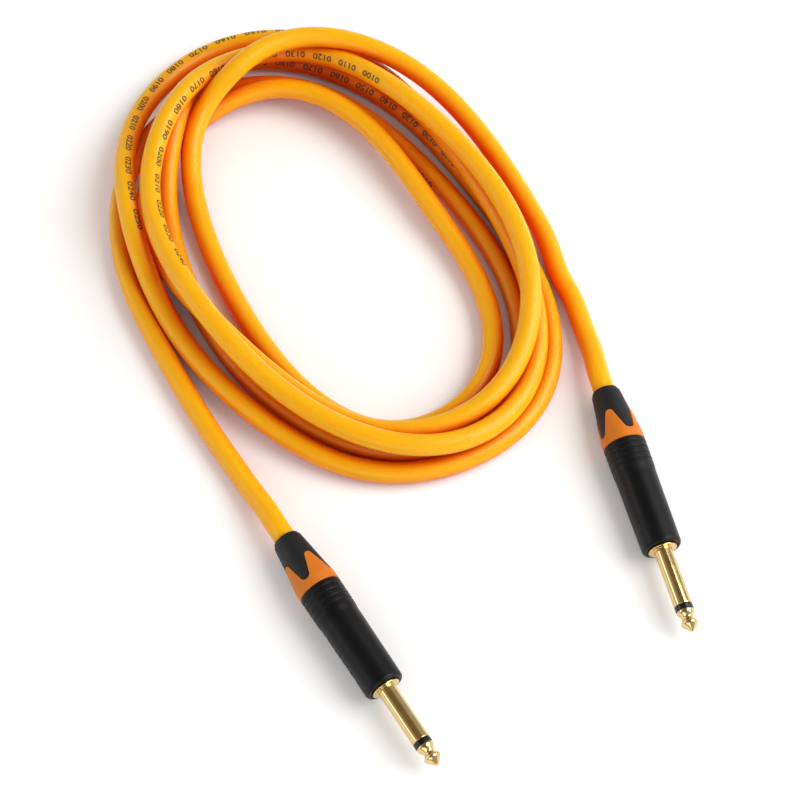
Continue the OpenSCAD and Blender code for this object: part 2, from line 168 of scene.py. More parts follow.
def linear(code):
    """Linear red, green and blue of an sRGB hex code such as #F9A800."""
    srgb = np.array([int(code[i:i + 2], 16) for i in (1, 3, 5)]) / 255
    return tuple(np.where(srgb <= 0.04045, srgb / 12.92, ((srgb + 0.055) / 1.055) ** 2.4))


def length(name, text, default, low, high):
    """A length property, in metres."""
    return FloatProperty(name=name, description=text, default=default, min=low, max=high,
                         unit="LENGTH", precision=4)


def colour(name, text, code):
    """A colour property whose default is an sRGB hex code."""
    return FloatVectorProperty(name=name, description=text, subtype="COLOR", size=3,
                               default=linear(code), min=0, max=1)


class CableSizes(bpy.types.PropertyGroup):
    """Sizes of the jacketed cable and of its print."""
    cable_d: length("Cable", "Outer diameter of the jacket", 0.0078, 0.0074, 0.008)
    ring_step: length("Ring step", "Distance between two rings of the jacket's mesh", 0.0016, 0.001, 0.003)
    sides: IntProperty(name="Sides", description="Points around the jacket", default=32, min=12, max=64)
    mark_height: length("Mark height", "Height of a printed figure", 0.0024, 0.001, 0.003)


class PlugSizes(bpy.types.PropertyGroup):
    """Sizes of a plug's visible pieces."""
    sleeve_d: length("Sleeve", "Diameter of the sleeve", 0.00635, 0.0062, 0.0064)
    flange_d: length("Flange", "Diameter of the sleeve's flange", 0.0102, 0.0096, 0.0104)
    tip_head_d: length("Tip head", "Widest diameter of the tip's head", 0.0059, 0.0054, 0.0062)
    tip_neck_d: length("Tip neck", "Diameter of the tip's neck", 0.0039, 0.0034, 0.0044)
    shell_rear_d: length("Handle rear", "Diameter of the ribbed end", 0.0153, 0.015, 0.017)
    shell_mid_d: length("Handle middle", "Diameter in front of the ribs", 0.0146, 0.014, 0.015)
    shell_front_d: length("Handle front", "Diameter at the front rim", 0.0141, 0.0136, 0.015)
    groove_depth: length("Groove depth", "Depth of a grip groove", 0.0003, 0.0001, 0.0004)
    panel_depth: length("Panel depth", "Depth of a handle's label panel", 0.00013, 0.00005, 0.0003)
    figure_height: length("Figure height", "Height of a raised figure on the panel", 0.0034, 0.002, 0.004)
    boot_end_d: length("Boot end", "Diameter of the boot's rear end", 0.0105, 0.01, 0.012)
    seam_gap: length("Seam", "Gap between the nut's fingers and the rubber", 0.0002, 0.0001, 0.0004)
    sides: IntProperty(name="Sides", description="Points around a turned piece", default=128, min=48, max=256)


class CableColours(bpy.types.PropertyGroup):
    """Base colours of the materials."""
    jacket: colour("Jacket", "Extruded PVC jacket", "#FFB907")
    nut: colour("Relief nut", "Moulded nylon nut", "#D8771E")
    rubber: colour("Boot", "Moulded rubber boot", "#121212")
    handle: colour("Handle", "Moulded nylon handle", "#0E0E0F")
    gold: colour("Contacts", "Gold-plated brass", "#DFC388")
    ring: colour("Ring", "Black acetal ring", "#0A0A0B")
    ink: colour("Ink", "Printing ink on the jacket", "#5C2806")
    chuck: colour("Chuck", "Moulded acetal chuck", "#3A3A3C")
    insulator: colour("Insulator", "Moulded nylon insulator", "#19191A")
    dielectric: colour("Dielectric", "Extruded polythene", "#EDEBE2")
    tin: colour("Tinned metal", "Tinned brass and solder", "#C9C9C4")
    copper: colour("Copper", "Drawn copper strands", "#C87A54")
    floor: colour("Floor", "Studio floor", "#F3F3F3")


# ---- Shapes ----------------------------------------------------------------------------


def grid_quads(rows, cols, wrap_rows=False, wrap_cols=True):
    """Quads between neighbouring points of a grid that is numbered row by row."""
    r, c = np.meshgrid(np.arange(rows if wrap_rows else rows - 1),
                       np.arange(cols if wrap_cols else cols - 1), indexing="ij")
    r2, c2 = (r + 1) % rows, (c + 1) % cols
    return np.stack([r * cols + c, r * cols + c2, r2 * cols + c2, r2 * cols + c], -1).reshape(-1, 4)


def new_object(name, data):
    """An object of the scene, made of a mesh, a curve, a lamp or a camera."""
    made = bpy.data.objects.new(name, data)
    bpy.context.scene.collection.objects.link(made)
    return made


def mesh_piece(name, points, faces, uv=None, sharp=None):
    """An object at the origin from points in millimetres and a list of face arrays."""
    mesh = bpy.data.meshes.new(name)
    corners = [f for a in faces for f in np.asarray(a).tolist()]
    mesh.from_pydata((np.asarray(points) * MM).tolist(), [], corners)
    mesh.polygons.foreach_set("use_smooth", np.ones(len(mesh.polygons), dtype=bool))
    if uv is not None:
        corner = np.empty(len(mesh.loops), dtype=np.int32)
        mesh.loops.foreach_get("vertex_index", corner)
        surface = mesh.uv_layers.new(name="surface")
        surface.data.foreach_set("uv", np.asarray(uv)[corner].astype(np.float32).ravel())
    if sharp is not None:
        mesh.set_sharp_from_angle(angle=math.radians(sharp))
    mesh.validate()
    mesh.update()
    return new_object(name, mesh)


def rounded(corners, radii, closed=True, steps=4):
    """Outline whose corners are replaced by curves. Between its tangent points a and b, the
    curve of a corner p is (1-t)^2 a + 2t(1-t) p + t^2 b, each a radius away from p."""
    p = np.asarray(corners, dtype=float)
    rad = np.broadcast_to(np.asarray(radii, dtype=float), (len(p),))[:, None]
    back, ahead = np.roll(p, 1, axis=0) - p, np.roll(p, -1, axis=0) - p
    long_b, long_a = (np.maximum(np.linalg.norm(v, axis=1, keepdims=True), 1e-9) for v in (back, ahead))
    a = p + back / long_b * np.minimum(rad, 0.49 * long_b)
    b = p + ahead / long_a * np.minimum(rad, 0.49 * long_a)
    if not closed:
        a[[0, -1]] = b[[0, -1]] = p[[0, -1]]
    t = np.linspace(0, 1, steps + 1)[None, :, None]
    curve = ((1 - t) ** 2 * a[:, None] + 2 * t * (1 - t) * p[:, None] + t ** 2 * b[:, None]).reshape(-1, 2)
    keep = np.linalg.norm(curve - np.roll(curve, 1, axis=0), axis=1) > 1e-6
    keep[0] = True
    return curve[keep]


def spaced(outline, step, closed=True, support=0.05):
    """The outline with added points: one every step along it, and one just after and before
    each corner, so that smooth shading stays flat on the long stretches."""
    p = np.vstack([outline, outline[:1]]) if closed else np.asarray(outline)
    s = np.r_[0, np.cumsum(np.linalg.norm(np.diff(p, axis=0), axis=1))]
    wide = np.diff(s) > 3 * support
    more = np.concatenate([s, s[:-1][wide] + support, s[1:][wide] - support, np.arange(0, s[-1], step)])
    more = np.unique(np.round(more, 4))
    more = more[np.r_[True, np.diff(more) > 0.012]]
    if closed:
        more = more[more < s[-1] - 0.012]
    return np.stack([np.interp(more, s, p[:, 0]), np.interp(more, s, p[:, 1])], -1)


def turned(outline, sides, closed=True):
    """Points and faces of an outline of (radius, height) turned about +Z: a point is (r cos a,
    r sin a, h). A closed outline runs up on its outside. An open one starts and ends on the
    axis, where one point closes it. Also gives each point's angle and place along the outline."""
    a = np.linspace(0, TAU, sides, endpoint=False)
    p = np.asarray(outline)
    along = np.r_[0, np.cumsum(np.linalg.norm(np.diff(p, axis=0), axis=1))]
    rows = p if closed else p[1:-1]
    s_rows = along if closed else along[1:-1]
    points = np.stack([rows[:, :1] * np.cos(a), rows[:, :1] * np.sin(a),
                       np.broadcast_to(rows[:, 1:], (len(rows), sides))], -1).reshape(-1, 3)
    uv = np.stack(np.broadcast_arrays(a[None, :] / TAU, s_rows[:, None]), -1).reshape(-1, 2)
    faces = [grid_quads(len(rows), sides, wrap_rows=closed)]
    if not closed:
        n, j = len(points), np.arange(sides)
        points = np.vstack([points, [0, 0, p[0, 1]], [0, 0, p[-1, 1]]])
        uv = np.vstack([uv, [0.5, along[0]], [0.5, along[-1]]])
        last = (len(rows) - 1) * sides
        faces.append(np.stack([np.full(sides, n), (j + 1) % sides, j], -1))
        faces.append(np.stack([np.full(sides, n + 1), last + j, last + (j + 1) % sides], -1))
    return points, faces, uv


def stacked(rings):
    """Points and faces of a closed skin through rings. A ring is (radius, height), each a
    number or an array over the angle, and the last ring joins the first."""
    sides = max(np.size(v) for ring in rings for v in ring)
    a = np.linspace(0, TAU, sides, endpoint=False)
    r = np.stack([np.broadcast_to(ring[0], (sides,)) for ring in rings])
    h = np.stack([np.broadcast_to(ring[1], (sides,)) for ring in rings])
    points = np.stack([r * np.cos(a), r * np.sin(a), h], -1).reshape(-1, 3)
    uv = np.stack([np.broadcast_to(a / TAU, r.shape), h], -1).reshape(-1, 2)
    return points, [grid_quads(len(rings), sides, wrap_rows=True)], uv


def figures(text, height, thick, strip):
    """Points and triangles of a line of figures as a closed solid in millimetres. It runs along
    +X from 0, is centred on Y and Z, and is cut across into strips so that it can be bent."""
    curve = bpy.data.curves.new("figures", "FONT")
    curve.body, curve.resolution_u, curve.offset = text, 4, FONT_WEIGHT
    line = new_object("figures", curve)
    flat = bpy.data.meshes.new_from_object(line.evaluated_get(bpy.context.evaluated_depsgraph_get()))
    work = bmesh.new()
    work.from_mesh(flat)
    points = np.array([v.co for v in work.verts])
    low, high = points.min(axis=0), points.max(axis=0)
    scale = height / (high[1] - low[1])
    for v in work.verts:
        v.co = ((v.co.x - low[0]) * scale, (v.co.y - (low[1] + high[1]) / 2) * scale, -thick / 2)
    bmesh.ops.remove_doubles(work, verts=work.verts, dist=1e-4)
    for y in np.arange(-height / 2 + strip, height / 2 - strip / 2, strip):
        bmesh.ops.bisect_plane(work, geom=[*work.verts, *work.edges, *work.faces], dist=1e-6,
                               plane_co=(0, y, 0), plane_no=(0, 1, 0))
    upper = bmesh.ops.extrude_face_region(work, geom=work.faces[:])["geom"]
    for v in (g for g in upper if isinstance(g, bmesh.types.BMVert)):
        v.co.z = thick / 2
    bmesh.ops.recalc_face_normals(work, faces=work.faces)
    bmesh.ops.triangulate(work, faces=work.faces)
    points = np.array([v.co for v in work.verts])
    # bmesh lists its faces in another order on each run, so each triangle is started at its
    # lowest point and the triangles are sorted.
    triangles = ([v.index for v in f.verts] for f in work.faces)
    faces = [np.array(sorted(t[t.index(min(t)):] + t[:t.index(min(t))] for t in triangles))]
    work.free()
    bpy.data.objects.remove(line)
    bpy.data.curves.remove(curve)
    bpy.data.meshes.remove(flat)
    return points, faces


def about_z(degrees):
    """Matrix that turns points about +Z."""
    a = math.radians(degrees)
    return np.array([[math.cos(a), -math.sin(a), 0], [math.sin(a), math.cos(a), 0], [0, 0, 1]])


def laid(points, plug):
    """Plug points laid on the surface: turned about their axis so that the first finger is the
    stated turn from the top, tipped flat, turned to the plug's heading and moved to its flange."""
    _, at, heading, finger = plug
    tip_over = np.array([[0, 0, 1], [0, 1, 0], [-1, 0, 0]])
    whole = about_z(heading) @ tip_over @ about_z(180 - finger)
    return np.asarray(points) @ whole.T + np.array([*at, AXIS_H])


def plug_piece(kind, plug, shape, body, finish, nodes, sharp=None):
    """One piece of a plug as an object that rides on its body and stands for its CAD nodes."""
    points, faces, uv = shape
    piece = mesh_piece(f"{kind}_{plug[0]}_piece", laid(points, plug), faces, uv, sharp)
    piece.data.materials.append(finish)
    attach(piece, body)
    if nodes:
        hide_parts(*[f"{n}_{plug[0]}" for n in nodes])
    return piece


def settings():
    """The scene's sizes and colours."""
    scene = bpy.context.scene
    return scene.cable_sizes, scene.plug_sizes, scene.cable_colours


# ---- The cable's route -----------------------------------------------------------------


def b_spline(values, q):
    """Uniform cubic B-spline over a list at places q, where its ends run on in a straight line."""
    v = np.asarray(values)
    w = np.r_[2 * v[0] - v[1], v, 2 * v[-1] - v[-2]]
    i = np.minimum(q.astype(int), len(v) - 2)
    u = q - i
    return ((1 - u) ** 3 * w[i] + (3 * u ** 3 - 6 * u ** 2 + 4) * w[i + 1]
            + (-3 * u ** 3 + 3 * u ** 2 + 3 * u + 1) * w[i + 2] + u ** 3 * w[i + 3]) / 6


def natural_spline(s, p, at):
    """Natural cubic spline through points p at places s, and its direction, at other places.
    Its second derivatives solve one tridiagonal system."""
    h = np.diff(s)
    n = len(s)
    system = np.eye(n)
    k = np.arange(1, n - 1)
    system[k, k - 1], system[k, k], system[k, k + 1] = h[:-1], 2 * (h[:-1] + h[1:]), h[1:]
    slope = np.diff(p, axis=0) / h[:, None]
    right = np.zeros_like(p)
    right[1:-1] = 6 * np.diff(slope, axis=0)
    m = np.linalg.solve(system, right)
    i = np.clip(np.searchsorted(s, at, side="right") - 1, 0, n - 2)
    a, b, g = (s[i + 1] - at)[:, None], (at - s[i])[:, None], h[i][:, None]
    where = (m[i] * a ** 3 + m[i + 1] * b ** 3) / (6 * g) + (p[i] / g - m[i] * g / 6) * a \
        + (p[i + 1] / g - m[i + 1] * g / 6) * b
    way = (-m[i] * a ** 2 + m[i + 1] * b ** 2) / (2 * g) \
        + (p[i + 1] - p[i]) / g - (m[i + 1] - m[i]) * g / 6
    return where, way / np.linalg.norm(way, axis=1, keepdims=True)


def on_axis(plug, z):
    """A point of a plug's axis at height z along it."""
    a = math.radians(plug[2])
    return [plug[1][0] + z * math.cos(a), plug[1][1] + z * math.sin(a), AXIS_H]


def route_knots(cable_d):
    """Points that the centreline goes through, from plug B's boot round the coil to plug A's.
    On the coil a point of the oval is (long cos a, short sin a). It is moved out by its lane
    and lifted to its level, then turned and moved to the oval's place."""
    q = np.arange(0, (len(LANES) - 1) * 3 + 1) / 3
    a = np.radians(FIRST_STATION + q * STATION_STEP)
    normal = np.stack([OVAL_SHORT * np.cos(a), OVAL_LONG * np.sin(a)], -1)
    normal /= np.linalg.norm(normal, axis=1, keepdims=True)
    oval = np.stack([OVAL_LONG * np.cos(a), OVAL_SHORT * np.sin(a)], -1)
    flat = oval + b_spline(LANES, q)[:, None] * cable_d * normal
    t = math.radians(OVAL_TURN)
    turn_back = np.array([[math.cos(t), math.sin(t)], [-math.sin(t), math.cos(t)]])
    flat = flat @ turn_back + np.array(OVAL_AT)
    coil = np.column_stack([flat, np.maximum(b_spline(LEVELS, q) * cable_d, cable_d / 2)])
    ends = [[on_axis(p, BOOT_END), on_axis(p, BOOT_END - STRAIGHT_LEN)] for p in PLUGS]
    return np.vstack([ends[1], TAIL_B, coil, TAIL_A, ends[0][::-1]])


class Route:
    """The cable's centreline, with the direction, the upward and the sideways normal at
    each place along it, in millimetres."""

    def __init__(self, cable_d, step):
        knots = route_knots(cable_d)
        s = np.r_[0, np.cumsum(np.linalg.norm(np.diff(knots, axis=0), axis=1))]
        fine = np.linspace(0, s[-1], int(s[-1] / (step / 4)))
        p, way = natural_spline(s, knots, fine)
        p[:, 2] = np.maximum(p[:, 2], cable_d / 2)
        self.s = np.r_[0, np.cumsum(np.linalg.norm(np.diff(p, axis=0), axis=1))]
        self.p, self.way = p, way
        self.length = self.s[-1]

    def at(self, s):
        """Point, direction, up and side at places s."""
        pick = lambda v: np.stack([np.interp(s, self.s, v[:, k]) for k in range(3)], -1)
        point, way = pick(self.p), pick(self.way)
        way /= np.linalg.norm(way, axis=1, keepdims=True)
        up = np.array([0, 0, 1.0]) - way[:, 2:] * way
        up /= np.linalg.norm(up, axis=1, keepdims=True)
        return point, way, up, np.cross(way, up)

    def skin(self, s, turn, radius):
        """Points on the jacket at places s, a turn from the top toward the right, at a radius."""
        point, _, up, side = self.at(np.ravel(s))
        turn, radius = np.ravel(turn)[:, None], np.ravel(radius)[:, None]
        return point + radius * (np.cos(turn) * up + np.sin(turn) * side)


_route = {}


def route():
    """The one route that the jacket and its print share."""
    cable = settings()[0]
    key = (round(cable.cable_d / MM, 4), round(cable.ring_step / MM, 4))
    if key not in _route:
        _route[key] = Route(*key)
    return _route[key]


# ---- Materials -------------------------------------------------------------------------


def fill(tree, node, values):
    """Sets a node's inputs to numbers, or links them from sockets."""
    for name, value in values.items():
        if isinstance(value, bpy.types.NodeSocket):
            tree.links.new(value, node.inputs[name])
        else:
            node.inputs[name].default_value = value


def add(tree, kind, values=None, **facts):
    """Adds a shader node of a kind, with its settings and its inputs."""
    node = tree.nodes.new("ShaderNode" + kind)
    for name, value in facts.items():
        setattr(node, name, value)
    fill(tree, node, values or {})
    return node


def new_finish(name):
    """A material with its tree, its Principled shader and its Object coordinates."""
    finish = bpy.data.materials.new(name)
    finish.use_nodes = True
    tree = finish.node_tree
    shader = tree.nodes["Principled BSDF"]
    return finish, tree, shader, add(tree, "TexCoord").outputs["Object"]


def rgba(colour_value, gain=1.0):
    """A colour property as a socket's colour, made darker or, up to full, lighter by a gain."""
    return (*[min(1.0, c * gain) for c in colour_value], 1.0)


def combine(tree, operation, a, b):
    """The result of a Math node on two values, each a number or a socket."""
    return add(tree, "Math", {0: a, 1: b}, operation=operation).outputs[0]


def noise(tree, place, feature, detail, roughness=0.5, distortion=0.0):
    """Noise from 0 to 1 with features of a stated size, in the units of its place."""
    values = {"Vector": place, "Scale": 1 / feature, "Detail": detail, "Roughness": roughness,
              "Distortion": distortion}
    return add(tree, "TexNoise", values).outputs["Fac"]


def tinted(tree, share, tint, low, high, start=0.3, end=0.7):
    """A tint whose gain goes from low to high as a share goes from start to end."""
    ramp = add(tree, "ValToRGB", {"Fac": share})
    first, last = ramp.color_ramp.elements
    first.position, last.position = start, end
    first.color, last.color = rgba(tint, low), rgba(tint, high)
    return ramp.outputs["Color"]


def roughen(tree, shader, share, low, high):
    """Roughness that wanders from low to high with a noise."""
    values = {"Value": share, "From Min": 0.3, "From Max": 0.7, "To Min": low, "To Max": high}
    rough = add(tree, "MapRange", values)
    tree.links.new(rough.outputs["Result"], shader.inputs["Roughness"])


def bump(tree, shader, height, depth_mm, strength=1.0, under=None):
    """Bump from a height of 0 to 1 that stands for a real depth in millimetres."""
    values = {"Height": height, "Distance": depth_mm * MM, "Strength": strength}
    if under is not None:
        values["Normal"] = under
    node = add(tree, "Bump", values)
    tree.links.new(node.outputs["Normal"], shader.inputs["Normal"])
    return node.outputs["Normal"]


def jacket_finish():
    """Plasticised PVC, extruded: satin and a little translucent, with faint die lines along
    it, a fine grain, a soft mottle and painted shade where the turns lie close together."""
    finish, tree, shader, where = new_finish("jacket_extruded_pvc")
    tint = settings()[2].jacket
    uv = add(tree, "UVMap", uv_map="surface").outputs["UV"]
    mottle = noise(tree, where, 0.022, 4.0, 0.6)
    speck = noise(tree, where, 0.0011, 3.0, 0.7)
    half = combine(tree, "MULTIPLY", combine(tree, "ADD", mottle, speck), 0.5)
    plain = tinted(tree, half, tint, 0.97, 1.02, 0.36, 0.64)
    # Painted shade: where ambient occlusion finds the next turn close, the base colour is mixed toward a
    # deeper, redder orange, standing in for the shade and the reddened bounce light between turns.
    painted_shade_ao = add(tree, "AmbientOcclusion", {"Distance": 0.02}, samples=8)
    share = add(tree, "MapRange", {"Value": painted_shade_ao.outputs["AO"], "From Min": 0.25,
                                             "From Max": 0.97})
    painted_crevice_shade = (tint[0] * 0.8, tint[1] * 0.23, 0.0, 1.0)
    body = add(tree, "MixRGB", {"Fac": share.outputs["Result"], "Color1": painted_crevice_shade,
                                          "Color2": plain})
    # The die's lines are long along the cable and narrow around it.
    stretch = add(tree, "Mapping", {"Vector": uv, "Scale": (60.0, 0.02, 1.0)})
    lines = noise(tree, stretch.outputs["Vector"], 1.0, 3.0)
    grain = noise(tree, where, 0.00045, 2.0, 0.6)
    roughen(tree, shader, mottle, 0.3, 0.38)
    first = bump(tree, shader, lines, 0.015, 0.3)
    bump(tree, shader, grain, 0.008, 0.3, first)
    fill(tree, shader, {"Base Color": body.outputs["Color"], "IOR": 1.52, "Specular IOR Level": 0.28,
                        "Subsurface Weight": 0.85, "Subsurface Radius": (1.0, 0.25, 0.03),
                        "Subsurface Scale": 0.0035})
    return finish


def ink_finish():
    """Ink-jet print: matt, and a little worn."""
    finish, tree, shader, where = new_finish("jacket_ink_jet_print")
    tint = settings()[2].ink
    wear = noise(tree, where, 0.0012, 3.0)
    fill(tree, shader, {"Base Color": tinted(tree, wear, tint, 0.8, 1.6, 0.35, 0.75), "Roughness": 0.6})
    bump(tree, shader, wear, 0.01, 0.4)
    return finish


def moulded_finish(name, tint, rough_low, rough_high, grain_mm, depth_mm, lift=1.25, specular=0.5):
    """Moulded or extruded plastic or rubber: a spark-eroded grain of a stated size, a faint
    flow mottle, and a roughness that wanders a little."""
    finish, tree, shader, where = new_finish(name)
    flow = noise(tree, where, 0.006, 3.0, distortion=0.6)
    grain = noise(tree, where, grain_mm * MM, 3.0, 0.65)
    pits = add(tree, "TexVoronoi", {"Vector": where, "Scale": 0.7 / (grain_mm * MM)})
    fill(tree, shader, {"Base Color": tinted(tree, flow, tint, 0.92, lift), "IOR": 1.5,
                        "Specular IOR Level": specular})
    roughen(tree, shader, flow, rough_low, rough_high)
    first = bump(tree, shader, pits.outputs["Distance"], depth_mm, 0.5)
    bump(tree, shader, grain, depth_mm, 0.6, first)
    return finish


def metal_finish(name, tint, rough_low, rough_high, stain_mm, rings_mm=0.0):
    """Plated or drawn metal: a faint stain that changes its colour and its roughness, and,
    where it was turned on a lathe, very fine rings across the axis at a stated spacing."""
    finish, tree, shader, where = new_finish(name)
    height = stain = noise(tree, where, stain_mm * MM, 4.0)
    fill(tree, shader, {"Base Color": tinted(tree, stain, tint, 0.92, 1.03), "Metallic": 1.0})
    roughen(tree, shader, stain, rough_low, rough_high)
    if rings_mm:
        uv = add(tree, "UVMap", uv_map="surface").outputs["UV"]
        squeeze = add(tree, "Mapping", {"Vector": uv, "Scale": (0.3, 1 / rings_mm, 1.0)})
        height = noise(tree, squeeze.outputs["Vector"], 1.0, 4.0, 0.7)
    bump(tree, shader, height, 0.004, 0.07)
    return finish


def braid_finish(name, tint):
    """Braided copper screen: two sets of 0.5 mm strands that cross, with painted shade that darkens them
    where they dip.
    """
    finish, tree, shader, where = new_finish(name)
    bands = []
    for lean in (45.0, -45.0):
        turn = add(tree, "Mapping", {"Vector": where,
                                               "Rotation": (0.0, 0.0, math.radians(lean))})
        wave = add(tree, "TexWave", {"Vector": turn.outputs["Vector"],
                                               "Scale": 0.31 / 0.0005, "Distortion": 1.0})
        bands.append(wave.outputs["Fac"])
    weave = combine(tree, "MULTIPLY", *bands)
    # Painted shade: the colour falls to about a third where the strands dip under each other.
    weave_with_painted_shade = tinted(tree, weave, tint, 0.35, 1.0, 0.0, 1.0)
    fill(tree, shader, {"Base Color": weave_with_painted_shade, "Metallic": 1.0, "Roughness": 0.35})
    bump(tree, shader, weave, 0.1, 0.8)
    return finish


# ---- Operators -------------------------------------------------------------------------


def facing(way):
    """Rotation of a camera or a lamp that looks along a direction."""
    return math.atan2(math.hypot(way[0], way[1]), -way[2]), 0.0, math.atan2(-way[0], way[1])


class CABLE_OT_camera(bpy.types.Operator):
    """Places the camera that looks down on the cable from the front"""
    bl_idname = "cable.camera"
    bl_label = "Camera"

    def execute(self, context):
        data = bpy.data.cameras.new("camera")
        data.sensor_fit = "AUTO"
        data.sensor_width = SENSOR
        data.lens = SENSOR / 2 / math.tan(math.radians(CAMERA_ANGLE / 2))
        data.clip_start, data.clip_end = 0.01, 20.0
        camera = new_object("camera", data)
        at, look = np.array(CAMERA_AT) * MM, np.array(CAMERA_LOOK) * MM
        camera.location = at
        camera.rotation_euler = facing(look - at)
        context.scene.camera = camera
        return {"FINISHED"}


class CABLE_OT_jacket(bpy.types.Operator):
    """Sweeps the orange jacket along its route from one boot to the other, and prints it"""
    bl_idname = "cable.jacket"
    bl_label = "Jacket"

    def execute(self, context):
        cable = settings()[0]
        way = route()
        radius, step, sides = cable.cable_d / 2 / MM, cable.ring_step / MM, cable.sides
        s = np.linspace(0, way.length, int(way.length / step))
        a = np.linspace(0, TAU, sides, endpoint=False)
        s_grid, a_grid = np.meshgrid(s, a, indexing="ij")
        points = way.skin(s_grid, a_grid, np.full(s_grid.size, radius))
        uv = np.stack([a_grid / TAU, s_grid], -1).reshape(-1, 2)
        quads = grid_quads(len(s), sides)[:, ::-1]
        j = np.arange(sides)
        n = len(points)
        points = np.vstack([points, way.p[0], way.p[-1]])
        uv = np.vstack([uv, [0.5, 0], [0.5, way.length]])
        last = (len(s) - 1) * sides
        caps = [np.stack([np.full(sides, n), j, (j + 1) % sides], -1),
                np.stack([np.full(sides, n + 1), last + (j + 1) % sides, last + j], -1)]
        piece = mesh_piece("cable_jacket", points, [quads, *caps], uv, sharp=60)
        piece.data.materials.append(jacket_finish())
        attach(piece, "lead")
        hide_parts("jacket_coil", "jacket_tail_a", "jacket_tail_b")
        marks = self.print_marks(way, cable)
        path = way.at(np.linspace(0, way.length, int(way.length / 4)))[0] * MM
        return {"FINISHED"}

    @staticmethod
    def print_marks(way, cable):
        """The print: a row of plain numbers along each run. A figure's point (x, y) goes to the
        place x along the cable and is turned by -y over the radius."""
        radius, high = cable.cable_d / 2 / MM, cable.mark_height / MM
        points, faces, count = [], [], 0
        for start, end, turn_start, turn_end in PRINT_RUNS:
            run = end - start
            end_mark = FIRST_MARK + MARK_STEP * int(run / PRINT_PITCH)
            words = "   ".join(f"{k:04d}" for k in range(FIRST_MARK, end_mark, MARK_STEP))
            flat, strips = figures(words, high, 2 * PRINT_LIFT, high / 5)
            flat = flat * np.array([run / flat[:, 0].max(), 1, 1])
            turn = np.radians(turn_start + (turn_end - turn_start) * flat[:, 0] / run) - flat[:, 1] / radius
            points.append(way.skin(start + flat[:, 0], turn, radius + flat[:, 2]))
            faces += [strip + count for strip in strips]
            count += len(flat)
        piece = mesh_piece("jacket_print", np.vstack(points), faces, sharp=40)
        piece.data.materials.append(ink_finish())
        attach(piece, "lead")
        return piece


def step_in(t):
    """Smooth step: 0 for t below 0, 1 above 1, and 3t^2 - 2t^3 between them."""
    t = np.clip(t, 0, 1)
    return t * t * (3 - 2 * t)


def panel_sink(points, plug, depth):
    """Handle points moved in by a depth inside the label panel. The panel is a rectangle with
    rounded corners on the unrolled handle, its edge is a smooth step, and the bore stays."""
    corner, edge, panel_r, bore_side = 2.0, 0.3, 7.2, 6.5
    r = np.hypot(points[:, 0], points[:, 1])
    middle = math.radians(plug[3] - PANEL_TURN[plug[0]])
    away = (np.arctan2(points[:, 1], points[:, 0]) - middle + math.pi) % TAU - math.pi
    half = np.array([math.radians(PANEL_HALF) * panel_r, (PANEL_Z[1] - PANEL_Z[0]) / 2])
    q = np.abs(np.stack([away * r, points[:, 2] - sum(PANEL_Z) / 2], -1)) - half + corner
    outside = np.linalg.norm(np.maximum(q, 0), axis=1) + np.minimum(q.max(axis=1), 0) - corner
    sink = depth * step_in(0.5 - outside / edge) * (r > bore_side)
    return points * np.stack([1 - sink / r, 1 - sink / r, np.ones_like(r)], -1)


